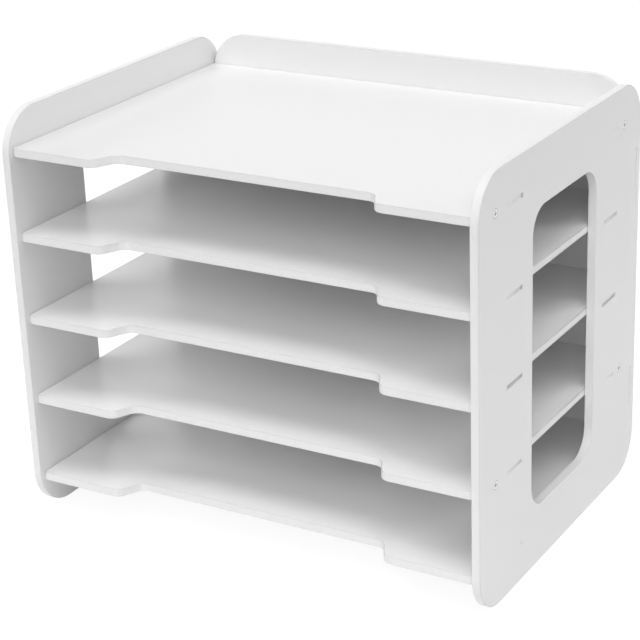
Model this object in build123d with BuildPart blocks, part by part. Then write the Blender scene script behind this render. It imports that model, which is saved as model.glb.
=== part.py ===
"""Five-tier desktop paper rack: white boards joined by tabs in slots and a few screws.

Millimetres, +Z up. The front of the rack faces -Y. The origin is at the middle of the rack's footprint,
on the surface that it stands on.
"""
import os
from math import radians, tan

from build123d import *

os.makedirs("parts", exist_ok=True)

# Overall size
WIDTH = 330.0
DEPTH = 242.0
HEIGHT = 276.0

# Board stock, the same for every panel and shelf
BOARD = 5.5
EDGE_BEVEL = 0.4

# Side panels and their windows
SIDE_CORNER = 28.0
WINDOW_DEPTH = 95.0
WINDOW_HEIGHT = 196.0
WINDOW_CORNER = 17.0

# Back panel, between the side panels
BACK_CORNER = 27.0
BACK_INSET = 3.0

# Shelves, numbered from the top
SHELF_COUNT = 5
SHELF_INSET = 3.0
SHELF_CORNER = 3.0
TOP_DROP = 25.5
BOTTOM_RISE = 25.5

# Shallow finger recess along each shelf's front edge, with S-curved ends
RECESS_WIDTH = 197.0
RECESS_DEPTH = 16.0
RECESS_ANGLE = 63.0
RECESS_ROUND = 8.0

# Tabs, thinner than the boards that they stand out of, and the slots that they seat in
TAB_THICKNESS = 3.2
SHELF_TAB_LENGTH = 22.0
SHELF_TAB_MARGIN = 37.5
BACK_TAB_LENGTH = 28.0
BACK_TAB_MARGIN = 46.5
TAB_END_BEVEL = 0.5
TAB_SETBACK = 1.3
SLOT_GAP = 0.15

# Self-tapping screws through the side panels into the ends of the top shelf and the last but one
SCREWED_SHELVES = (1, SHELF_COUNT - 1)
SCREW_MARGIN = 19.5
SCREW_LENGTH = 20.0
SCREW_TIP = 3.0
TIP_DIAMETER = 1.0
SHANK_DIAMETER = 3.0
HEAD_DIAMETER = 6.0
HEAD_ANGLE = 90.0
HEAD_SINK = 0.2
CROSS_SPAN = 3.4
CROSS_WIDTH = 0.8
CROSS_DEPTH = 1.0
SCREW_GAP = 0.1
PILOT_SPARE = 0.5

# Worked out from the sizes above
INNER_WIDTH = WIDTH - 2 * BOARD
RIM_BEVEL = min(EDGE_BEVEL, 0.45 * BOARD)
TAB_REACH = BOARD - TAB_SETBACK
SIDE_FRONT = -DEPTH / 2
SIDE_REAR = DEPTH / 2
BACK_REAR = SIDE_REAR - BACK_INSET
BACK_FRONT = BACK_REAR - BOARD
SHELF_FRONT = SIDE_FRONT + SHELF_INSET
SHELF_DEPTH = BACK_FRONT - SHELF_FRONT
SHELF_PITCH = (HEIGHT - TOP_DROP - BOTTOM_RISE) / (SHELF_COUNT - 1)
SHELF_NUMBERS = range(1, SHELF_COUNT + 1)
HOLE_RADIUS = SHANK_DIAMETER / 2 + SCREW_GAP
HEAD_SEAT = WIDTH / 2 - HEAD_SINK
HEAD_DEPTH = (HEAD_DIAMETER - SHANK_DIAMETER) / 2 / tan(radians(HEAD_ANGLE / 2))
MOUTH_RADIUS = HEAD_DIAMETER / 2 + SCREW_GAP + HEAD_SINK * tan(radians(HEAD_ANGLE / 2))
PILOT_DEPTH = SCREW_LENGTH + HEAD_SINK - BOARD + PILOT_SPARE


def shelf_height(number):
    """Height of a shelf's mid-plane."""
    return HEIGHT - TOP_DROP - (number - 1) * SHELF_PITCH


def shelf_tab_places(number):
    """Centres (Y, Z) of the front and rear tab at each end of a shelf."""
    reach = DEPTH / 2 - SHELF_TAB_MARGIN - SHELF_TAB_LENGTH / 2
    return [(-reach, shelf_height(number)), (reach, shelf_height(number))]


def back_tab_places():
    """Centres (Y, Z) of the lower and upper tab at each side of the back panel."""
    low = BACK_TAB_MARGIN + BACK_TAB_LENGTH / 2
    middle = (BACK_FRONT + BACK_REAR) / 2
    return [(middle, low), (middle, HEIGHT - low)]


def screw_places(number):
    """Centres (Y, Z) of the front and rear screw at each end of a shelf."""
    front = SHELF_FRONT + SCREW_MARGIN
    rear = BACK_FRONT - SCREW_MARGIN
    return [(front, shelf_height(number)), (rear, shelf_height(number))]


def facing_out(side, reach, places):
    """Locations at X = side * reach for (Y, Z) places, each looking out of the rack's side."""
    seats = []
    for along, height in places:
        seats.append(Location(Plane((side * reach, along, height), x_dir=(0, 1, 0), z_dir=(side, 0, 0))))
    return seats


def bevel_rims(board, axis):
    """Ease the rims of a flat board, whose faces are square to the axis."""
    levels = board.edges().group_by(axis)
    chamfer(levels[0] + levels[-1], RIM_BEVEL)


def bevel_tab_ends(board):
    """Ease the rims of a board's tabs, the outermost edges at its left and right."""
    levels = board.edges().group_by(Axis.X)
    chamfer(levels[0] + levels[-1], TAB_END_BEVEL)


# Right side panel: a rounded board with a tall window, ten shelf slots, two back slots and four screw holes
with BuildPart() as right_side_panel:
    with BuildSketch(Plane.YZ.offset(INNER_WIDTH / 2)):
        with Locations((0, HEIGHT / 2)):
            RectangleRounded(DEPTH, HEIGHT, SIDE_CORNER)
            RectangleRounded(WINDOW_DEPTH, WINDOW_HEIGHT, WINDOW_CORNER, mode=Mode.SUBTRACT)
    extrude(amount=BOARD)
    bevel_rims(right_side_panel, Axis.X)

    with BuildSketch(Plane.YZ.offset(INNER_WIDTH / 2)) as slots:
        for number in SHELF_NUMBERS:
            with Locations(*shelf_tab_places(number)):
                Rectangle(SHELF_TAB_LENGTH + 2 * SLOT_GAP, TAB_THICKNESS + 2 * SLOT_GAP)
        with Locations(*back_tab_places()):
            Rectangle(TAB_THICKNESS + 2 * SLOT_GAP, BACK_TAB_LENGTH + 2 * SLOT_GAP)
    extrude(amount=BOARD, mode=Mode.SUBTRACT)

    for number in SCREWED_SHELVES:
        with Locations(*facing_out(1, WIDTH / 2, screw_places(number))):
            CounterSinkHole(HOLE_RADIUS, MOUTH_RADIUS, BOARD, HEAD_ANGLE)

# Left side panel: the mirror image
with BuildPart() as left_side_panel:
    mirror(right_side_panel.part, about=Plane.YZ)

# Back panel: a closed board between the side panels, with two upright tabs at each side
with BuildPart() as back_panel:
    with BuildSketch(Plane.XZ.offset(-BACK_REAR)):
        with Locations((0, HEIGHT / 2)):
            RectangleRounded(INNER_WIDTH, HEIGHT, BACK_CORNER)
    extrude(amount=BOARD)
    bevel_rims(back_panel, Axis.Y)
    for side in (-1, 1):
        with BuildSketch(Plane.YZ.offset(side * INNER_WIDTH / 2)):
            with Locations(*back_tab_places()):
                Rectangle(TAB_THICKNESS, BACK_TAB_LENGTH)
        extrude(amount=side * TAB_REACH)
    bevel_tab_ends(back_panel)


def make_shelf(number):
    """One shelf: a finger recess at the front, two tabs at each end, and pilot holes if it is screwed."""
    height = shelf_height(number)
    with BuildPart() as shelf:
        with BuildSketch(Plane.XY.offset(height - BOARD / 2)) as outline:
            with Locations((0, (SHELF_FRONT + BACK_FRONT) / 2)):
                Rectangle(INNER_WIDTH, SHELF_DEPTH)
            fillet(outline.vertices().group_by(Axis.Y)[0], SHELF_CORNER)
            with Locations((0, SHELF_FRONT + RECESS_DEPTH / 2)):
                Trapezoid(RECESS_WIDTH, RECESS_DEPTH, RECESS_ANGLE, mode=Mode.SUBTRACT)
            bends = outline.vertices().filter_by(lambda corner: abs(corner.X) < RECESS_WIDTH / 2 + RIM_BEVEL)
            fillet(bends, RECESS_ROUND)
        extrude(amount=BOARD)
        bevel_rims(shelf, Axis.Z)

        for side in (-1, 1):
            with BuildSketch(Plane.YZ.offset(side * INNER_WIDTH / 2)):
                with Locations(*shelf_tab_places(number)):
                    Rectangle(SHELF_TAB_LENGTH, TAB_THICKNESS)
            extrude(amount=side * TAB_REACH)
        bevel_tab_ends(shelf)

        if number in SCREWED_SHELVES:
            for side in (-1, 1):
                with Locations(*facing_out(side, INNER_WIDTH / 2, screw_places(number))):
                    Hole(HOLE_RADIUS, PILOT_DEPTH)
    return shelf.part


# One countersunk self-tapping screw with a cross recess, head up, its head's face at the origin
with BuildPart() as screw:
    with BuildSketch(Plane.XZ) as half_section:
        with BuildLine():
            Polyline(
                (0, 0),
                (HEAD_DIAMETER / 2, 0),
                (SHANK_DIAMETER / 2, -HEAD_DEPTH),
                (SHANK_DIAMETER / 2, SCREW_TIP - SCREW_LENGTH),
                (TIP_DIAMETER / 2, -SCREW_LENGTH),
                (0, -SCREW_LENGTH),
                close=True,
            )
        make_face()
    revolve(axis=Axis.Z)
    with BuildSketch(Plane.XY):
        Rectangle(CROSS_SPAN, CROSS_WIDTH)
        Rectangle(CROSS_WIDTH, CROSS_SPAN)
    extrude(amount=-CROSS_DEPTH, mode=Mode.SUBTRACT)

# The right side's screws, four alike, and their mirror images at the left
with BuildPart() as right_screws:
    for number in SCREWED_SHELVES:
        with Locations(*facing_out(1, HEAD_SEAT, screw_places(number))):
            add(screw.part)

with BuildPart() as left_screws:
    mirror(right_screws.part, about=Plane.YZ)

pieces = {
    "left_side_panel": left_side_panel.part,
    "right_side_panel": right_side_panel.part,
    "back_panel": back_panel.part,
    "left_screws": left_screws.part,
    "right_screws": right_screws.part,
}
for number in SHELF_NUMBERS:
    pieces[f"shelf_{number}"] = make_shelf(number)

for name, piece in pieces.items():
    piece.label = name
    export_step(piece, f"parts/{name}.step")
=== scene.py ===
"""White five-tier paper rack in a plain studio.

Metres, +Z up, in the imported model's own frame. The front of the rack faces -Y.
"""
import logging
from dataclasses import dataclass
from enum import Enum
from math import cos, radians, sin

import bmesh
import bpy
from mathutils import Matrix, Vector, noise


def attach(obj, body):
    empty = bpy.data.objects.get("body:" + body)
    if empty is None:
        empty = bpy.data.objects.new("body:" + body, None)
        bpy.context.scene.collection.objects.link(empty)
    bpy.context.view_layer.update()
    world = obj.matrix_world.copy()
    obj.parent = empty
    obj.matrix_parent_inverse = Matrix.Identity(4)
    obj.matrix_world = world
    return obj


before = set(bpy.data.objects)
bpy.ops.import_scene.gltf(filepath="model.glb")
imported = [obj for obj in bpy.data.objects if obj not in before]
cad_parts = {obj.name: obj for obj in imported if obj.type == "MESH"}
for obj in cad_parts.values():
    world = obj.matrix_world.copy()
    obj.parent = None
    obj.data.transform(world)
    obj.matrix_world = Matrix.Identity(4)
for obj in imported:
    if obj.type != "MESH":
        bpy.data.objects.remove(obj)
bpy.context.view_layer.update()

log = logging.getLogger("paper_rack")

MM = 0.001
PICTURE_WIDTH = 640

# What a node's input takes: another node's output, or a plain number
Input = bpy.types.NodeSocket | float


class Side(Enum):
    """Left and right, as seen from in front of the rack."""

    LEFT = "left"
    RIGHT = "right"


class Flat(Enum):
    """The axis that a board's two flat faces are square to."""

    X = (1.0, 0.0, 0.0)
    Y = (0.0, 1.0, 0.0)
    Z = (0.0, 0.0, 1.0)


# Node helpers


def node_of(tree: bpy.types.NodeTree, kind: str, **values: object) -> bpy.types.Node:
    """Add a node and set its plain properties.

    Args:
        tree: The node tree that gets the node.
        kind: The node's type name.
        **values: Properties of the node, by name.

    Returns:
        The new node.
    """
    node = tree.nodes.new(kind)
    for name, value in values.items():
        setattr(node, name, value)
    return node


def feed(tree: bpy.types.NodeTree, socket: bpy.types.NodeSocket, value: Input) -> None:
    """Give an input what it takes.

    Args:
        tree: The node tree that the input's node is in.
        socket: The input.
        value: The output that is linked to it, or the number that is set on it.
    """
    if isinstance(value, bpy.types.NodeSocket):
        tree.links.new(value, socket)
    else:
        socket.default_value = value


def math_of(tree: bpy.types.NodeTree, operation: str, *inputs: Input) -> bpy.types.NodeSocket:
    """Add a Math node.

    Args:
        tree: The node tree that gets the node.
        operation: The operation's name.
        *inputs: A socket or a number for each input in turn.

    Returns:
        The node's output socket.
    """
    node = node_of(tree, "ShaderNodeMath", operation=operation)
    for socket, value in zip(node.inputs, inputs):
        feed(tree, socket, value)
    return node.outputs[0]


def vector_of(tree: bpy.types.NodeTree, operation: str, *inputs: bpy.types.NodeSocket) -> bpy.types.Node:
    """Add a Vector Math node.

    Args:
        tree: The node tree that gets the node.
        operation: The operation's name.
        *inputs: A vector for each input in turn.

    Returns:
        The node.
    """
    node = node_of(tree, "ShaderNodeVectorMath", operation=operation)
    for socket, vector in zip(node.inputs, inputs):
        tree.links.new(vector, socket)
    return node


def place_of(tree: bpy.types.NodeTree) -> bpy.types.NodeSocket:
    """Add the coordinates in the object's own frame, in metres."""
    return node_of(tree, "ShaderNodeTexCoord").outputs["Object"]


def axes_of(tree: bpy.types.NodeTree, vector: bpy.types.NodeSocket) -> bpy.types.NodeOutputs:
    """Split a vector into its three numbers.

    Args:
        tree: The node tree that gets the node.
        vector: The vector.

    Returns:
        The outputs X, Y and Z.
    """
    node = node_of(tree, "ShaderNodeSeparateXYZ")
    tree.links.new(vector, node.inputs[0])
    return node.outputs


def noise_of(tree: bpy.types.NodeTree, vector: bpy.types.NodeSocket, scale: Input,
             detail: float = 2.0, roughness: float = 0.5) -> bpy.types.NodeSocket:
    """Add a Noise Texture.

    Args:
        tree: The node tree that gets the node.
        vector: The coordinates.
        scale: A socket or a number, in cells per metre.
        detail: The octaves above the first.
        roughness: How strong each next octave is.

    Returns:
        The noise's value, around 0.5.
    """
    node = node_of(tree, "ShaderNodeTexNoise")
    node.inputs["Detail"].default_value = detail
    node.inputs["Roughness"].default_value = roughness
    tree.links.new(vector, node.inputs["Vector"])
    feed(tree, node.inputs["Scale"], scale)
    return node.outputs["Fac"]


def swing_of(tree: bpy.types.NodeTree, value: bpy.types.NodeSocket, amount: Input) -> bpy.types.NodeSocket:
    """Turn a noise's value into a swing around nought.

    Args:
        tree: The node tree that gets the nodes.
        value: The noise's value, around 0.5.
        amount: The whole swing.

    Returns:
        The swing.
    """
    return math_of(tree, "MULTIPLY", math_of(tree, "SUBTRACT", value, 0.5), amount)


def grey_of(tree: bpy.types.NodeTree, level: bpy.types.NodeSocket) -> bpy.types.NodeSocket:
    """Make a neutral colour from one value.

    Args:
        tree: The node tree that gets the node.
        level: The value.

    Returns:
        The colour.
    """
    colour = node_of(tree, "ShaderNodeCombineColor")
    for title in ("Red", "Green", "Blue"):
        tree.links.new(level, colour.inputs[title])
    return colour.outputs["Color"]


def step_of(tree: bpy.types.NodeTree, value: bpy.types.NodeSocket,
            start: float, end: float) -> bpy.types.NodeSocket:
    """Rise smoothly from nought at start to one at end.

    Args:
        tree: The node tree that gets the node.
        value: The value that is measured.
        start: Where the step is still nought.
        end: Where it has reached one.

    Returns:
        The step.
    """
    node = node_of(tree, "ShaderNodeMapRange", interpolation_type="SMOOTHSTEP")
    tree.links.new(value, node.inputs["Value"])
    node.inputs["From Min"].default_value = start
    node.inputs["From Max"].default_value = end
    return node.outputs["Result"]


class Group:
    """A shader node group with named sockets."""

    def __init__(self, name: str, inputs: dict[str, float], outputs: tuple[str, ...],
                 vectors: tuple[str, ...] = ()) -> None:
        """Make the group and its sockets.

        Args:
            name: The group's name.
            inputs: Each input's name and default number.
            outputs: Each output's name.
            vectors: The outputs that are vectors.
        """
        self.tree = bpy.data.node_groups.new(name, "ShaderNodeTree")
        for title, value in inputs.items():
            socket = self.tree.interface.new_socket(title, in_out="INPUT", socket_type="NodeSocketFloat")
            socket.default_value = value
        for title in outputs:
            kind = "NodeSocketVector" if title in vectors else "NodeSocketFloat"
            self.tree.interface.new_socket(title, in_out="OUTPUT", socket_type=kind)
        self.source = node_of(self.tree, "NodeGroupInput")
        self.sink = node_of(self.tree, "NodeGroupOutput")

    def give(self, title: str, socket: bpy.types.NodeSocket) -> None:
        """Link a socket to one of the group's outputs."""
        self.tree.links.new(socket, self.sink.inputs[title])

    def place(self, tree: bpy.types.NodeTree, **values: float) -> bpy.types.Node:
        """Place the group in a material.

        Args:
            tree: The material's node tree.
            **values: Numbers for the group's inputs, by name.

        Returns:
            The group node.
        """
        node = node_of(tree, "ShaderNodeGroup", node_tree=self.tree)
        for title, value in values.items():
            node.inputs[title].default_value = value
        return node


# Effects that more than one finish uses


class Effects:
    """The shader node groups, each built once.

    Scales are in cells per metre. A normal's share along the board's flat axis is one on the flat faces
    and nought on the edges.
    """

    # The skin's slow waves beside its fine grain
    WAVE_SCALE = 55.0
    WAVE_SHARE = 0.6

    # The normal's share where a flat face ends, where the rim is well under way and where it is all rim
    FLAT_SHARE = 0.985
    TURN_SHARE = 0.93
    RIM_SHARE = 0.55

    # The lumps and pits of a routed rim
    LUMP_SCALE = 650.0
    PIT_SCALE = 1600.0
    PIT_MIDDLE = 0.45
    PIT_DEPTH = 0.35

    # The smears of handling
    SMEAR_SCALE = 14.0

    def __init__(self) -> None:
        """Build every group."""
        self.skin = self.build_skin()
        self.cut_rim = self.build_cut_rim()
        self.handling = self.build_handling()

    def build_skin(self) -> Group:
        """Build the fine skin of a smooth painted or plated face.

        Returns:
            The group, with a height and a faint tone around one.
        """
        group = Group("skin", {"Scale": 900.0, "Tone": 0.01}, ("Height", "Tone"))
        tree = group.tree
        given = group.source.outputs
        place = place_of(tree)
        fine = noise_of(tree, place, given["Scale"], detail=3.0, roughness=0.55)
        waves = math_of(tree, "MULTIPLY", noise_of(tree, place, self.WAVE_SCALE), self.WAVE_SHARE)
        group.give("Height", math_of(tree, "ADD", fine, waves))
        group.give("Tone", math_of(tree, "ADD", 1.0, swing_of(tree, fine, given["Tone"])))
        return group

    def build_cut_rim(self) -> Group:
        """Build the mask and grain of a board's routed rims, where the normal leaves the flat axis.

        The arris is crisp: its narrow bevel shades nearly as the edge beside it does.

        Returns:
            The group, with a mask that is one on the rims, a height, a tone around one and a normal.
        """
        inputs = {"X": 0.0, "Y": 0.0, "Z": 0.0, "Tone": 0.03, "Crispness": 0.9}
        group = Group("cut_rim", inputs, ("Mask", "Height", "Tone", "Normal"), ("Normal",))
        tree = group.tree
        given = group.source.outputs
        normal = node_of(tree, "ShaderNodeTexCoord").outputs["Normal"]
        axis = node_of(tree, "ShaderNodeCombineXYZ")
        for title in ("X", "Y", "Z"):
            tree.links.new(given[title], axis.inputs[title])
        facing = vector_of(tree, "DOT_PRODUCT", normal, axis.outputs[0]).outputs["Value"]
        share = math_of(tree, "ABSOLUTE", facing)
        mask = step_of(tree, share, self.TURN_SHARE, self.RIM_SHARE)
        group.give("Mask", mask)

        turned = step_of(tree, share, self.FLAT_SHARE, self.TURN_SHARE)
        bend = math_of(tree, "MULTIPLY", turned, given["Crispness"])
        along = vector_of(tree, "SCALE", axis.outputs[0])
        tree.links.new(math_of(tree, "MULTIPLY", facing, bend), along.inputs["Scale"])
        bent = vector_of(tree, "SUBTRACT", normal, along.outputs[0])
        group.give("Normal", vector_of(tree, "NORMALIZE", bent.outputs[0]).outputs[0])

        place = place_of(tree)
        lumps = noise_of(tree, place, self.LUMP_SCALE)
        cells = node_of(tree, "ShaderNodeTexVoronoi", feature="F1")
        cells.inputs["Scale"].default_value = self.PIT_SCALE
        tree.links.new(place, cells.inputs["Vector"])
        deep = math_of(tree, "SUBTRACT", cells.outputs["Distance"], self.PIT_MIDDLE)
        pits = math_of(tree, "MULTIPLY", deep, self.PIT_DEPTH)
        grain = math_of(tree, "ADD", swing_of(tree, lumps, 1.0), pits)
        group.give("Height", math_of(tree, "MULTIPLY", grain, mask))
        swing = math_of(tree, "MULTIPLY", swing_of(tree, lumps, given["Tone"]), mask)
        group.give("Tone", math_of(tree, "ADD", 1.0, swing))
        return group

    def build_handling(self) -> Group:
        """Build the soft smears of handling, which change only how glossy a face is.

        Returns:
            The group, with a roughness.
        """
        group = Group("handling", {"Roughness": 0.3, "Amount": 0.05}, ("Roughness",))
        tree = group.tree
        given = group.source.outputs
        smears = noise_of(tree, place_of(tree), self.SMEAR_SCALE, detail=3.0, roughness=0.6)
        swing = swing_of(tree, smears, given["Amount"])
        group.give("Roughness", math_of(tree, "ADD", swing, given["Roughness"]))
        return group


# Finishes


@dataclass(frozen=True)
class RecessShade:
    """Painted shade in the slot recesses: the colour grows darker from one distance to another, sideways from
    the rack's middle.

    Attributes:
        start: The distance at which there is no painted shade.
        end: The distance at which the painted shade is darkest.
        amount: The share of the brightness that the painted shade takes there.
    """

    start: float
    end: float
    amount: float

    def clean(self, tree: bpy.types.NodeTree) -> bpy.types.NodeSocket:
        """Tell how much of a surface's brightness the painted shade leaves.

        Args:
            tree: The node tree that gets the nodes.

        Returns:
            The share that is left.
        """
        # Painted shade: the deeper a point lies in a slot recess, the darker its colour.
        out = math_of(tree, "ABSOLUTE", axes_of(tree, place_of(tree))["X"])
        shade_share = step_of(tree, out, self.start, self.end)
        return math_of(tree, "SUBTRACT", 1.0, math_of(tree, "MULTIPLY", shade_share, self.amount))


@dataclass(frozen=True)
class BoardFinish:
    """Smooth white board with a satin skin and routed rims.

    Attributes:
        whiteness: How much light the board throws back.
        roughness: How rough its skin is.
        smears: How much handling changes that.
        index: The skin's index of refraction.
        skin_scale: The skin's grain, in cells per metre.
        skin_tone: How much the grain changes the brightness.
        skin_depth: How deep the grain is, in millimetres.
        rim_tone: How much a routed rim's grain changes the brightness.
        rim_depth: How deep that grain is, in millimetres.
        rim_matt: How much rougher the rims are than the skin.
        crispness: How much a rim's bevel shades like the edge beside it.
    """

    whiteness: float = 0.85
    roughness: float = 0.25
    smears: float = 0.03
    index: float = 1.5
    skin_scale: float = 900.0
    skin_tone: float = 0.012
    skin_depth: float = 0.004
    rim_tone: float = 0.05
    rim_depth: float = 0.02
    rim_matt: float = 0.14
    crispness: float = 0.9

    def build(self, effects: Effects, flat: Flat, title: str, recess_shade: RecessShade | None = None) -> bpy.types.Material:
        """Build the material for boards that lie one way.

        Args:
            effects: The shared groups.
            flat: The axis that the boards' faces are square to.
            title: The material's name.
            recess_shade: The painted shade in the slot recesses, if any.

        Returns:
            The material.
        """
        material = bpy.data.materials.new(title)
        material.use_nodes = True
        tree = material.node_tree
        shader = tree.nodes["Principled BSDF"]
        skin = effects.skin.place(tree, Scale=self.skin_scale, Tone=self.skin_tone)
        along_x, along_y, along_z = flat.value
        rim = effects.cut_rim.place(tree, X=along_x, Y=along_y, Z=along_z, Tone=self.rim_tone,
                                    Crispness=self.crispness)
        handling = effects.handling.place(tree, Roughness=self.roughness, Amount=self.smears)

        tone = math_of(tree, "MULTIPLY", skin.outputs["Tone"], rim.outputs["Tone"])
        # Painted shade darkens the colour of the parts that sit in the slot recesses.
        if recess_shade is not None:
            tone = math_of(tree, "MULTIPLY", tone, recess_shade.clean(tree))
        level = math_of(tree, "MULTIPLY", tone, self.whiteness)
        tree.links.new(grey_of(tree, level), shader.inputs["Base Color"])

        matt = math_of(tree, "MULTIPLY", rim.outputs["Mask"], self.rim_matt)
        tree.links.new(math_of(tree, "ADD", handling.outputs["Roughness"], matt), shader.inputs["Roughness"])

        rim_height = math_of(tree, "MULTIPLY", rim.outputs["Height"], self.rim_depth)
        skin_height = math_of(tree, "MULTIPLY", skin.outputs["Height"], self.skin_depth)
        bump = node_of(tree, "ShaderNodeBump")
        bump.inputs["Distance"].default_value = MM
        bump.inputs["Strength"].default_value = 1.0
        tree.links.new(math_of(tree, "ADD", rim_height, skin_height), bump.inputs["Height"])
        tree.links.new(rim.outputs["Normal"], bump.inputs["Normal"])
        tree.links.new(bump.outputs["Normal"], shader.inputs["Normal"])
        shader.inputs["IOR"].default_value = self.index
        return material


@dataclass(frozen=True)
class ScrewFinish:
    """Bright plated steel of the small screws, with painted shade at the head's rim, where the countersink's
    gap lies, and in its cross recess.

    Attributes:
        brightness: How much light the plating throws back.
        roughness: How rough it is.
        smears: How much handling changes that.
        grain_scale: The plating's grain, in cells per metre.
        grain_tone: How much the grain changes the brightness.
        grain_depth: How deep the grain is.
        grain_strength: How strongly it shows.
        rim_shade: The share of the brightness that the painted shade at the head's rim takes.
        rim_radius: Where the rim begins.
        rim_blend: How far it blends in.
        cross_shade: The share of the brightness that the painted shade in the cross recess takes.
        cross_radius: Where the cross ends.
        cross_blend: How far it blends out.
        cross_level: How far from the rack's middle the cross begins to be sunk.
        sink_blend: How far that blends in.
    """

    brightness: float = 0.88
    roughness: float = 0.32
    smears: float = 0.1
    grain_scale: float = 2400.0
    grain_tone: float = 0.12
    grain_depth: float = 0.02 * MM
    grain_strength: float = 0.6
    rim_shade: float = 0.5
    rim_radius: float = 2.35 * MM
    rim_blend: float = 0.25 * MM
    cross_shade: float = 0.15
    cross_radius: float = 2.0 * MM
    cross_blend: float = 0.2 * MM
    cross_level: float = 164.6 * MM
    sink_blend: float = 0.1 * MM

    def build(self, effects: Effects, rows: tuple[float, float],
              heights: tuple[float, float]) -> bpy.types.Material:
        """Build the material.

        Args:
            effects: The shared groups.
            rows: How far back the front and rear screws are.
            heights: How high the lower and upper screws are.

        Returns:
            The material.
        """
        material = bpy.data.materials.new("screw_steel")
        material.use_nodes = True
        tree = material.node_tree
        shader = tree.nodes["Principled BSDF"]
        skin = effects.skin.place(tree, Scale=self.grain_scale, Tone=self.grain_tone)
        handling = effects.handling.place(tree, Roughness=self.roughness, Amount=self.smears)

        place = axes_of(tree, place_of(tree))
        across = self.nearest(tree, place["Y"], rows)
        upward = self.nearest(tree, place["Z"], heights)
        squares = [math_of(tree, "POWER", distance, 2.0) for distance in (across, upward)]
        radius = math_of(tree, "SQRT", math_of(tree, "ADD", *squares))
        # Painted shade: a darker ring at the head's rim and a darker cross in its recess
        rim = step_of(tree, radius, self.rim_radius, self.rim_radius + self.rim_blend)
        inside = step_of(tree, radius, self.cross_radius, self.cross_radius - self.cross_blend)
        out = math_of(tree, "ABSOLUTE", place["X"])
        sunk = step_of(tree, out, self.cross_level, self.cross_level - self.sink_blend)
        cross = math_of(tree, "MULTIPLY", inside, sunk)
        shade = math_of(tree, "ADD", math_of(tree, "MULTIPLY", rim, self.rim_shade),
                        math_of(tree, "MULTIPLY", cross, self.cross_shade))
        clean = math_of(tree, "MULTIPLY", math_of(tree, "SUBTRACT", 1.0, shade), self.brightness)
        level = math_of(tree, "MULTIPLY", skin.outputs["Tone"], clean)
        tree.links.new(grey_of(tree, level), shader.inputs["Base Color"])
        tree.links.new(handling.outputs["Roughness"], shader.inputs["Roughness"])

        bump = node_of(tree, "ShaderNodeBump")
        bump.inputs["Distance"].default_value = self.grain_depth
        bump.inputs["Strength"].default_value = self.grain_strength
        tree.links.new(skin.outputs["Height"], bump.inputs["Height"])
        tree.links.new(bump.outputs["Normal"], shader.inputs["Normal"])
        shader.inputs["Metallic"].default_value = 1.0
        return material

    @staticmethod
    def nearest(tree: bpy.types.NodeTree, value: bpy.types.NodeSocket,
                places: tuple[float, float]) -> bpy.types.NodeSocket:
        """Measure how far a coordinate is from the nearer of two places.

        Args:
            tree: The node tree that gets the nodes.
            value: The coordinate.
            places: The two places.

        Returns:
            The distance.
        """
        gaps = [math_of(tree, "ABSOLUTE", math_of(tree, "SUBTRACT", value, place)) for place in places]
        return math_of(tree, "MINIMUM", *gaps)


@dataclass(frozen=True)
class FloorFinish:
    """Pale floor that reads as the white background and keeps a faint shadow.

    Attributes:
        bounce: How much light it throws back on the rack.
        seen: How much light it shows.
        glow: How bright it shows without any.
        speckle: How much its fine grain changes what it shows.
        speckle_scale: That grain, in cells per metre.
    """

    bounce: float = 0.8
    seen: float = 0.16
    glow: float = 0.9
    speckle: float = 0.1
    speckle_scale: float = 40.0

    def build(self) -> bpy.types.Material:
        """Build the material.

        Returns:
            The material.
        """
        material = bpy.data.materials.new("pale_floor")
        material.use_nodes = True
        tree = material.node_tree
        tree.nodes.clear()
        hidden = node_of(tree, "ShaderNodeBsdfDiffuse")
        hidden.inputs["Color"].default_value = (self.bounce, self.bounce, self.bounce, 1.0)
        shown = node_of(tree, "ShaderNodeBsdfDiffuse")
        grain = noise_of(tree, place_of(tree), self.speckle_scale)
        tone = math_of(tree, "ADD", 1.0, swing_of(tree, grain, self.speckle))
        shade = grey_of(tree, math_of(tree, "MULTIPLY", tone, self.seen))
        tree.links.new(shade, shown.inputs["Color"])
        glow = node_of(tree, "ShaderNodeEmission")
        glow.inputs["Strength"].default_value = self.glow
        both = node_of(tree, "ShaderNodeAddShader")
        tree.links.new(shown.outputs[0], both.inputs[0])
        tree.links.new(glow.outputs[0], both.inputs[1])
        mix = node_of(tree, "ShaderNodeMixShader")
        tree.links.new(seen_rays(tree), mix.inputs["Fac"])
        tree.links.new(hidden.outputs[0], mix.inputs[1])
        tree.links.new(both.outputs[0], mix.inputs[2])
        out = node_of(tree, "ShaderNodeOutputMaterial")
        tree.links.new(mix.outputs[0], out.inputs["Surface"])
        return material


def seen_rays(tree: bpy.types.NodeTree) -> bpy.types.NodeSocket:
    """Tell the rays that show a background from those that only light the object.

    Args:
        tree: The node tree that gets the nodes.

    Returns:
        A socket that is one for camera, glossy and transmission rays.
    """
    path = node_of(tree, "ShaderNodeLightPath")
    mirrored = math_of(tree, "MAXIMUM", path.outputs["Is Glossy Ray"], path.outputs["Is Transmission Ray"])
    return math_of(tree, "MAXIMUM", path.outputs["Is Camera Ray"], mirrored)


# The rack


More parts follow.
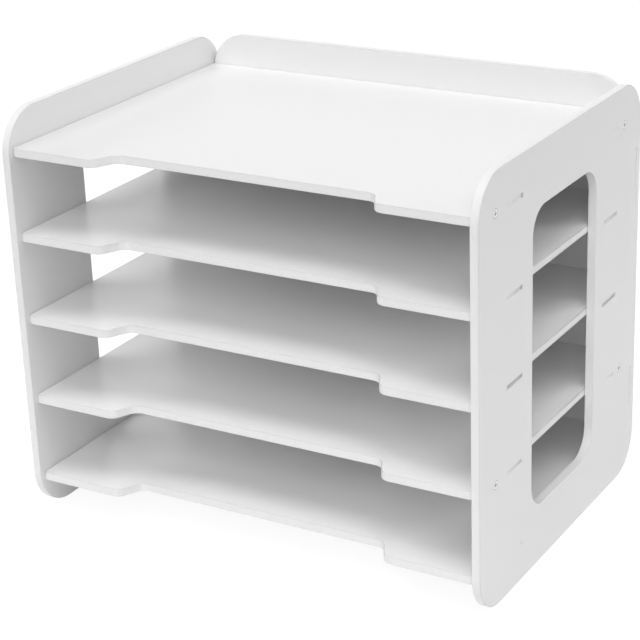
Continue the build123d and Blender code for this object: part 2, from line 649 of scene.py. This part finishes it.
class RimTools:
    """The mesh node groups that get a board's bevelled rims ready for rounding, each built once.

    Distances are in metres and angles in degrees.
    """

    JOIN_WITHIN = 0.002 * MM
    BEVEL_ANGLE = 45.0
    ANGLE_SPARE = 6.0
    SQUARE_ANGLE = 60.0

    def __init__(self) -> None:
        """Build both groups."""
        self.joined = self.build_joined()
        self.marked = self.build_marked()

    @staticmethod
    def start(name: str,
              inputs: dict[str, float]) -> tuple[bpy.types.NodeTree, bpy.types.Node, bpy.types.Node]:
        """Make a mesh node group with a mesh coming in and going out.

        Args:
            name: The group's name.
            inputs: Each number's name and default.

        Returns:
            The group, its input node and its output node.
        """
        tree = bpy.data.node_groups.new(name, "GeometryNodeTree")
        tree.interface.new_socket("Mesh", in_out="INPUT", socket_type="NodeSocketGeometry")
        for title, value in inputs.items():
            socket = tree.interface.new_socket(title, in_out="INPUT", socket_type="NodeSocketFloat")
            socket.default_value = value
        tree.interface.new_socket("Mesh", in_out="OUTPUT", socket_type="NodeSocketGeometry")
        return tree, node_of(tree, "NodeGroupInput"), node_of(tree, "NodeGroupOutput")

    @staticmethod
    def shade(tree: bpy.types.NodeTree, mesh: bpy.types.NodeSocket, domain: str, smooth: bool,
              where: bpy.types.NodeSocket | None = None) -> bpy.types.NodeSocket:
        """Shade a mesh's faces or edges smooth or sharp.

        Args:
            tree: The node tree that gets the node.
            mesh: The mesh.
            domain: FACE or EDGE.
            smooth: Whether they become smooth.
            where: Which faces or edges, or none for all.

        Returns:
            The mesh.
        """
        node = node_of(tree, "GeometryNodeSetShadeSmooth", domain=domain)
        node.inputs["Shade Smooth"].default_value = smooth
        tree.links.new(mesh, node.inputs[0])
        if where is not None:
            tree.links.new(where, node.inputs["Selection"])
        return node.outputs[0]

    def build_joined(self) -> bpy.types.NodeTree:
        """Build the group that joins the mesh's doubled points and shades all of it smooth.

        Returns:
            The group.
        """
        tree, source, sink = self.start("joined_faces", {"Within": self.JOIN_WITHIN})
        merge = node_of(tree, "GeometryNodeMergeByDistance")
        tree.links.new(source.outputs["Mesh"], merge.inputs["Geometry"])
        tree.links.new(source.outputs["Within"], merge.inputs["Distance"])
        faces = self.shade(tree, merge.outputs["Geometry"], "FACE", True)
        tree.links.new(self.shade(tree, faces, "EDGE", True), sink.inputs["Mesh"])
        return tree

    def build_marked(self) -> bpy.types.NodeTree:
        """Build the group that marks the long rims for rounding, and keeps square edges sharp.

        Returns:
            The group.
        """
        tree, source, sink = self.start("marked_rims", {"Shortest": 0.0, "Reach": 1.0})
        angle = node_of(tree, "GeometryNodeInputMeshEdgeAngle").outputs["Unsigned Angle"]
        ends = node_of(tree, "GeometryNodeInputMeshEdgeVertices")
        length = vector_of(tree, "DISTANCE", ends.outputs["Position 1"], ends.outputs["Position 2"])
        bevelled = math_of(tree, "COMPARE", angle, radians(self.BEVEL_ANGLE), radians(self.ANGLE_SPARE))
        long = math_of(tree, "GREATER_THAN", length.outputs["Value"], source.outputs["Shortest"])
        place = axes_of(tree, node_of(tree, "GeometryNodeInputPosition").outputs[0])
        near = math_of(tree, "LESS_THAN", math_of(tree, "ABSOLUTE", place["X"]), source.outputs["Reach"])
        chosen = math_of(tree, "MULTIPLY", math_of(tree, "MULTIPLY", bevelled, long), near)
        store = node_of(tree, "GeometryNodeStoreNamedAttribute", data_type="FLOAT", domain="EDGE")
        store.inputs["Name"].default_value = "bevel_weight_edge"
        tree.links.new(source.outputs["Mesh"], store.inputs["Geometry"])
        tree.links.new(chosen, store.inputs["Value"])
        square = math_of(tree, "GREATER_THAN", angle, radians(self.SQUARE_ANGLE))
        sharp = self.shade(tree, store.outputs["Geometry"], "EDGE", False, square)
        tree.links.new(sharp, sink.inputs["Mesh"])
        return tree


@dataclass
class Board:
    """One flat board of the rack, a CAD node that keeps its shape.

    Attributes:
        node: The CAD node's name.
        flat: The axis that the board's faces are square to.
        rim_round: How far each edge of a bevelled rim is rounded back.
        segments: How many faces that rounding has.
        flatness: The angle, in degrees, below which neighbouring faces become one.
        shortest: The shortest edge that is rounded.
        reach: How far from the rack's middle, sideways, rims are rounded.
        evenness: How strongly large faces rule the shading.
    """

    node: str
    flat: Flat
    rim_round: float = 0.25 * MM
    segments: int = 2
    flatness: float = 0.5
    shortest: float = 0.0
    reach: float = 1.0
    evenness: int = 100

    def ease(self, tools: RimTools) -> bpy.types.Object:
        """Turn the board's bevelled rims into rounded ones.

        Args:
            tools: The mesh node groups.

        Returns:
            The board's object.
        """
        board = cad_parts[self.node]
        joined = board.modifiers.new("joined", "NODES")
        joined.node_group = tools.joined
        tidy = board.modifiers.new("tidy", "DECIMATE")
        tidy.decimate_type = "DISSOLVE"
        tidy.angle_limit = radians(self.flatness)
        marked = board.modifiers.new("marked", "NODES")
        marked.node_group = tools.marked
        limits = {"Shortest": self.shortest, "Reach": self.reach}
        for item in tools.marked.interface.items_tree:
            if item.name in limits:
                marked[item.identifier] = limits[item.name]
        rim = board.modifiers.new("rim", "BEVEL")
        rim.limit_method = "WEIGHT"
        rim.width = self.rim_round
        rim.segments = self.segments
        rim.use_clamp_overlap = False
        rim.loop_slide = False
        even = board.modifiers.new("even", "WEIGHTED_NORMAL")
        even.keep_sharp = True
        even.weight = self.evenness
        return board

    def dress(self, tools: RimTools, material: bpy.types.Material) -> None:
        """Round the rims and give the board its material.

        Args:
            tools: The mesh node groups.
            material: The white board that lies this board's way.
        """
        board = self.ease(tools)
        for slot in board.material_slots:
            slot.material = material


@dataclass
class SidePanel(Board):
    """A side panel with its window and slots, whose screw holes keep their mouths."""

    flat: Flat = Flat.X
    shortest: float = 1.6 * MM


@dataclass
class BackPanel(Board):
    """The closed back panel, rounded between its tabs."""

    flat: Flat = Flat.Y
    reach: float = 159.6 * MM


@dataclass
class Shelf(Board):
    """One shelf with its finger recess, rounded between its tabs."""

    flat: Flat = Flat.Z
    reach: float = 159.6 * MM


def ease_in(share: float) -> float:
    """Rise smoothly from nought to one, and stay within them.

    Args:
        share: How far the rise has got.

    Returns:
        The eased share.
    """
    share = min(1.0, max(0.0, share))
    return share * share * (3.0 - 2.0 * share)


@dataclass(frozen=True)
class Dish:
    """The paint that has run into one slot mouth and sunk there.

    The slot's far end is its rear end, or its upper end if it stands upright. The sunk strip starts at
    the slot's lower or front side.

    Attributes:
        centre: The slot's place, backwards and upwards.
        size: The slot's size, backwards and upwards.
        near: How deep the paint has sunk at the near end.
        far: How deep it has sunk at the far end.
        gap: How long the gap is that it has left open at the far end.
        strip: How wide the sunk strip is.
        unevenness: The share by which the depth drifts.
        drift_size: How far apart the drift's highs and lows are.
    """

    centre: tuple[float, float]
    size: tuple[float, float]
    near: float
    far: float
    gap: float = 0.0
    strip: float = 3.5 * MM
    unevenness: float = 0.3
    drift_size: float = 4.0 * MM

    def depth(self, along: float, upward: float, ramp: float, deepest: float) -> float:
        """Tell how deep the paint has sunk at one place.

        Args:
            along: The place backwards, from the slot's middle.
            upward: The place upwards, from the slot's middle.
            ramp: How wide the slope is at the strip's borders.
            deepest: The depth of an open gap.

        Returns:
            The depth.
        """
        upright = self.size[1] > self.size[0]
        run, across = (upward, along) if upright else (along, upward)
        length, width = max(self.size), min(self.size)
        sunk = self.near + (self.far - self.near) * (run / length + 0.5)
        if self.gap > 0.0:
            opening = ease_in((self.gap + ramp - (length / 2 - run)) / ramp)
            sunk += (deepest - sunk) * opening
        border = across + width / 2
        inside = min(border, self.strip - border, length / 2 - abs(run))
        place = Vector((self.centre[0] + along, self.centre[1] + upward, 0.0))
        drift = noise.noise(place / self.drift_size)
        return min(deepest, sunk * ease_in(inside / ramp) * (1.0 + self.unevenness * drift))


@dataclass
class SlotPaint:
    """The paint that has run into the slot mouths round the tabs of one side.

    Each row of fills holds a near depth, a far depth and an open gap's length in millimetres, from the top
    shelf down, or for the back panel's upper and lower tab. A slot without numbers shows its tab.

    Attributes:
        side: The side of the rack.
        outer: How far out the side panel's face is.
        tab_end: How far out the tabs' ends are.
        lip: How far the paint stays behind the panel's face.
        clear: How far it stays off the slot's walls.
        ramp: How wide the slope is at a sunk strip's borders.
        deepest: The depth of an open gap.
        long_step: How far apart a dish's grid lines are along the slot, at most.
        short_step: How far apart they are across it, at most.
        rim_shares: Where grid lines cross the slope, as shares of its width.
        shelf_slot: A shelf slot's size, backwards and upwards.
        back_slot: A back slot's size, backwards and upwards.
        row: How far before and behind the middle the shelf slots are.
        top: How high the top shelf's slots are.
        pitch: How far down the next shelf's slots are.
        back_row: How far behind the middle the back slots are.
        back_heights: How high the upper and the lower back slot are.
        back_strip: How wide the sunk strip is in a back slot.
        front_fills: The fills of the front row.
        rear_fills: The fills of the rear row.
        back_fills: The fills of the back slots.
    """

    side: Side
    outer: float = 165.0 * MM
    tab_end: float = 163.7 * MM
    lip: float = 0.004 * MM
    clear: float = 0.002 * MM
    ramp: float = 0.4 * MM
    deepest: float = 1.2 * MM
    long_step: float = 0.7 * MM
    short_step: float = 0.3 * MM
    rim_shares: tuple[float, ...] = (0.0, 0.2, 0.45, 0.75, 1.0)
    shelf_slot: tuple[float, float] = (22.3 * MM, 3.5 * MM)
    back_slot: tuple[float, float] = (3.5 * MM, 28.3 * MM)
    row: float = 72.5 * MM
    top: float = 250.5 * MM
    pitch: float = 56.25 * MM
    back_row: float = 115.25 * MM
    back_heights: tuple[float, float] = (215.5 * MM, 60.5 * MM)
    back_strip: float = 2.0 * MM
    front_fills: tuple[tuple[float, ...], ...] = (
        (0.2, 0.45, 1.8), (0.45, 0.7, 1.5), (1.0, 1.1, 0.0), (0.35, 0.75, 0.0), (0.0, 0.05, 0.6))
    rear_fills: tuple[tuple[float, ...], ...] = (
        (0.0, 0.15, 0.0), (0.5, 0.75, 0.0), (), (0.0, 0.55, 0.0), (0.0, 0.1, 0.0))
    back_fills: tuple[tuple[float, ...], ...] = ((0.45, 0.9, 3.5), (0.5, 0.5, 1.6))

    def dishes(self) -> list[Dish]:
        """List the filled slot mouths.

        Returns:
            The dishes.
        """
        found: list[Dish] = []
        for row, fills in ((-self.row, self.front_fills), (self.row, self.rear_fills)):
            for number, fill in enumerate(fills):
                if fill:
                    near, far, gap = (depth * MM for depth in fill)
                    found.append(Dish((row, self.top - number * self.pitch), self.shelf_slot, near, far, gap))
        for height, fill in zip(self.back_heights, self.back_fills):
            near, far, gap = (depth * MM for depth in fill)
            found.append(Dish((self.back_row, height), self.back_slot, near, far, gap, self.back_strip))
        return found

    def build(self, material: bpy.types.Material) -> bpy.types.Object:
        """Build the dishes of one side as one piece.

        Args:
            material: The paint.

        Returns:
            The piece.
        """
        shape = bmesh.new()
        for dish in self.dishes():
            self.add_dish(shape, dish)
        bmesh.ops.recalc_face_normals(shape, faces=shape.faces)
        name = f"{self.side.value}_slot_paint"
        mesh = bpy.data.meshes.new(name)
        shape.to_mesh(mesh)
        shape.free()
        mesh.materials.append(material)
        piece = bpy.data.objects.new(name, mesh)
        bpy.context.scene.collection.objects.link(piece)
        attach(piece, "root")
        return piece

    def lines(self, size: float, spacing: float) -> list[float]:
        """Place the grid lines of a dish along one of its sides, closer together near its rim.

        Args:
            size: The dish's size along that side.
            spacing: How far apart the lines are in the middle, at most.

        Returns:
            The lines' places, from the middle.
        """
        half = size / 2
        rims = [half - self.ramp * share for share in self.rim_shares]
        inner = half - self.ramp
        count = max(1, round(2 * inner / spacing))
        middle = [inner * (2 * step / count - 1) for step in range(1, count)]
        return sorted([-place for place in rims] + middle + rims)

    def add_dish(self, shape: bmesh.types.BMesh, dish: Dish) -> None:
        """Add one dish on top of the tab's end, closed underneath.

        Args:
            shape: The mesh that gets the dish.
            dish: The dish.
        """
        wide, tall = (extent - 2 * self.clear for extent in dish.size)
        columns = self.lines(wide, self.long_step if wide > tall else self.short_step)
        rows = self.lines(tall, self.short_step if wide > tall else self.long_step)
        sign = 1.0 if self.side is Side.RIGHT else -1.0
        skin: list[list[bmesh.types.BMVert]] = []
        for upward in rows:
            line: list[bmesh.types.BMVert] = []
            for along in columns:
                out = self.outer - self.lip - dish.depth(along, upward, self.ramp, self.deepest)
                line.append(shape.verts.new((sign * out, dish.centre[0] + along, dish.centre[1] + upward)))
            skin.append(line)
        for lower, upper in zip(skin, skin[1:]):
            for start in range(len(columns) - 1):
                face = shape.faces.new((lower[start], lower[start + 1], upper[start + 1], upper[start]))
                face.smooth = True
        border = skin[0] + [line[-1] for line in skin[1:]]
        border += skin[-1][-2::-1] + [line[0] for line in skin[-2:0:-1]]
        feet = [shape.verts.new((sign * self.tab_end, point.co.y, point.co.z)) for point in border]
        for start in range(len(border)):
            following = (start + 1) % len(border)
            shape.faces.new((border[start], border[following], feet[following], feet[start]))
        shape.faces.new(feet)


@dataclass
class ScrewSet:
    """The four countersunk screws at one side."""

    side: Side

    def dress(self, material: bpy.types.Material) -> str:
        """Give the screws their steel.

        Args:
            material: The screws' steel.

        Returns:
            The name of the piece.
        """
        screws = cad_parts[f"{self.side.value}_screws"]
        for slot in screws.material_slots:
            slot.material = material
        return screws.name


@dataclass
class PaperRack:
    """The whole rack: two side panels, a back panel, five shelves and eight screws.

    Attributes:
        effects: The shared groups.
        board: The finish of the boards.
        paint: The finish of the paint in the slots.
        tab_shade: The painted shade on the tabs' ends in the slot recesses.
        paint_shade: The painted shade on that paint, darker the deeper it lies in the slot.
        steel: The finish of the screws.
        shelf_count: How many shelves there are.
        screw_rows: How far back the front and rear screws are.
        screw_heights: How high the lower and upper screws are.
    """

    effects: Effects
    board: BoardFinish = BoardFinish()
    paint: BoardFinish = BoardFinish(crispness=0.0)
    # Painted shade on the tabs' ends and on the sunk paint in the slots, darker the deeper they lie
    tab_shade: RecessShade = RecessShade(160.5 * MM, 161.5 * MM, 0.2)
    paint_shade: RecessShade = RecessShade(164.9 * MM, 163.8 * MM, 0.4)
    steel: ScrewFinish = ScrewFinish()
    shelf_count: int = 5
    screw_rows: tuple[float, float] = (-98.5 * MM, 93.0 * MM)
    screw_heights: tuple[float, float] = (81.75 * MM, 250.5 * MM)

    def build(self) -> list[str]:
        """Dress every piece and fill the slot mouths.

        Returns:
            The names of the pieces.
        """
        white: dict[Flat, bpy.types.Material] = {}
        for flat in Flat:
            # The boards that are not side panels get painted shade on their tabs' ends in the slots
            recess_shade = None if flat is Flat.X else self.tab_shade
            white[flat] = self.board.build(self.effects, flat, f"white_board_{flat.name.lower()}", recess_shade)
        # The slot paint is darkened by painted shade the deeper it has sunk
        paint = self.paint.build(self.effects, Flat.X, "slot_paint", self.paint_shade)
        boards: list[Board] = [SidePanel(f"{side.value}_side_panel") for side in Side]
        boards.append(BackPanel("back_panel"))
        boards += [Shelf(f"shelf_{number}") for number in range(1, self.shelf_count + 1)]
        tools = RimTools()
        names: list[str] = []
        for board in boards:
            board.dress(tools, white[board.flat])
            names.append(board.node)
        steel = self.steel.build(self.effects, self.screw_rows, self.screw_heights)
        for side in Side:
            names.append(ScrewSet(side).dress(steel))
            names.append(SlotPaint(side).build(paint).name)
        return names


# The studio


def hang_light(data: bpy.types.Light, place: Vector, back: Vector) -> bpy.types.Object:
    """Put a light in the scene.

    Args:
        data: The light.
        place: Where it hangs.
        back: The way that its back faces.

    Returns:
        The light's object.
    """
    lamp = bpy.data.objects.new(data.name, data)
    bpy.context.scene.collection.objects.link(lamp)
    lamp.rotation_mode = "QUATERNION"
    lamp.rotation_quaternion = back.to_track_quat("Z", "Y")
    lamp.location = place
    return lamp


@dataclass(frozen=True)
class Lamp:
    """A large soft light, far off, without glare of its own: satin faces mirror only the white around.

    Attributes:
        name: The light's name.
        bearing: Where it stands, in degrees round from the front towards the right.
        height: How high it stands, in degrees up from the floor.
        level: How much light it sheds.
        spread: How wide it looks from the rack, in degrees.
        distance: How far off it is placed. This changes nothing but where it is found.
    """

    name: str
    bearing: float
    height: float
    level: float
    spread: float = 36.0
    distance: float = 4.0

    def build(self) -> bpy.types.Object:
        """Place the light.

        Returns:
            The light's object.
        """
        data = bpy.data.lights.new(self.name, "SUN")
        data.angle = radians(self.spread)
        data.energy = self.level
        turn, rise = radians(self.bearing), radians(self.height)
        towards = Vector((sin(turn) * cos(rise), -cos(turn) * cos(rise), sin(rise)))
        lamp = hang_light(data, towards * self.distance, towards)
        lamp.visible_glossy = False
        return lamp


@dataclass(frozen=True)
class SoftBox:
    """A square soft light beside the rack, aimed at its middle.

    Attributes:
        name: The light's name.
        bearing: Where it stands, in degrees round from the front towards the right.
        distance: How far from the middle it stands.
        power: How much light it sheds, in watts.
        height: How high it stands.
        size: How wide and tall it is.
        aim: How high the point is that it faces.
    """

    name: str
    bearing: float
    distance: float
    power: float
    height: float = 0.25
    size: float = 0.5
    aim: float = 0.14

    def build(self) -> bpy.types.Object:
        """Place the light.

        Returns:
            The light's object.
        """
        data = bpy.data.lights.new(self.name, "AREA")
        data.shape = "SQUARE"
        data.size = self.size
        data.energy = self.power
        turn = radians(self.bearing)
        place = Vector((sin(turn) * self.distance, -cos(turn) * self.distance, self.height))
        lamp = hang_light(data, place, place - Vector((0.0, 0.0, self.aim)))
        lamp.visible_camera = False
        return lamp


@dataclass(frozen=True)
class Viewpoint:
    """The photograph's viewpoint: the rack from its front right, a little above.

    Attributes:
        place: Where the camera is.
        bearing: How far it is turned to the left, in degrees.
        pitch: How far it looks down, in degrees.
        roll: How far it is rolled, in degrees.
        focal: The focal length, in pixels of the picture.
        shift: How far the picture is shifted sideways, in pixels.
        sensor: The sensor's width, in millimetres.
    """

    place: tuple[float, float, float] = (0.59790, -1.01127, 0.59653)
    bearing: float = 29.240
    pitch: float = 22.031
    roll: float = -1.513
    focal: float = 1915.08
    shift: float = -56.0
    sensor: float = 36.0

    def build(self) -> bpy.types.Object:
        """Place the camera.

        Returns:
            The camera's object.
        """
        turn, dip, roll = radians(self.bearing), radians(self.pitch), radians(self.roll)
        ahead = Vector((-sin(turn) * cos(dip), cos(turn) * cos(dip), -sin(dip)))
        level = Vector((cos(turn), sin(turn), 0.0))
        upright = level.cross(ahead)
        across = cos(roll) * level + sin(roll) * upright
        above = -sin(roll) * level + cos(roll) * upright
        camera = bpy.data.objects.new("camera", bpy.data.cameras.new("camera"))
        camera.data.sensor_width = self.sensor
        camera.data.lens = self.focal / PICTURE_WIDTH * self.sensor
        camera.data.shift_x = self.shift / PICTURE_WIDTH
        bpy.context.scene.collection.objects.link(camera)
        turned = Matrix((across, above, -ahead)).transposed().to_4x4()
        camera.matrix_world = Matrix.Translation(self.place) @ turned
        bpy.context.scene.camera = camera
        return camera


@dataclass
class Studio:
    """The pale floor, the white surroundings, the soft lights and the camera.

    Attributes:
        floor: The finish of the floor.
        floor_reach: How far the floor reaches from the middle.
        floor_tiles: How many faces it has each way.
        viewpoint: Where the camera stands.
        lamps: The lights.
    """

    floor: FloorFinish = FloorFinish()
    floor_reach: float = 1.3
    floor_tiles: int = 8
    viewpoint: Viewpoint = Viewpoint()
    lamps: tuple[Lamp | SoftBox, ...] = (
        Lamp("top", 30.0, 70.0, 0.28, 20.0),
        Lamp("front", 15.0, 34.0, 1.14),
        Lamp("front_right", 50.0, 34.0, 0.11),
        Lamp("right_high", 60.0, 60.0, 0.76),
        Lamp("right_low", 120.0, 8.0, 0.28),
        Lamp("right_rear", 120.0, 34.0, 0.53),
        Lamp("left_rear", 240.0, 8.0, 0.88),
        Lamp("left_high", 300.0, 60.0, 1.15),
        SoftBox("left_box", 270.0, 0.7, 1.05),
        SoftBox("front_box", 20.0, 0.8, 0.36),
    )

    def build(self) -> None:
        """Build the stage, the lights and the camera."""
        self.build_floor()
        self.build_world()
        for lamp in self.lamps:
            lamp.build()
        self.viewpoint.build()
        bpy.context.scene.view_settings.view_transform = "Standard"

    def build_floor(self) -> None:
        """Lay the floor under the rack."""
        mesh = bpy.data.meshes.new("floor")
        shape = bmesh.new()
        bmesh.ops.create_grid(shape, x_segments=self.floor_tiles, y_segments=self.floor_tiles,
                               size=self.floor_reach)
        shape.to_mesh(mesh)
        shape.free()
        floor = bpy.data.objects.new("floor", mesh)
        bpy.context.scene.collection.objects.link(floor)
        mesh.materials.append(self.floor.build())

    def build_world(self) -> None:
        """Surround the rack with white where it is seen or mirrored, and with no light otherwise."""
        world = bpy.data.worlds.new("surroundings")
        bpy.context.scene.world = world
        world.use_nodes = True
        tree = world.node_tree
        background = tree.nodes["Background"]
        background.inputs["Color"].default_value = (1.0, 1.0, 1.0, 1.0)
        tree.links.new(seen_rays(tree), background.inputs["Strength"])


def main() -> None:
    """Build the studio and the rack, and report each piece."""
    logging.basicConfig(level=logging.INFO, format="%(name)s: %(message)s")
    Studio().build()
    rack = PaperRack(Effects())
    for name in rack.build():
        log.info("piece %s", name)


if __name__ == "__main__":
    main()
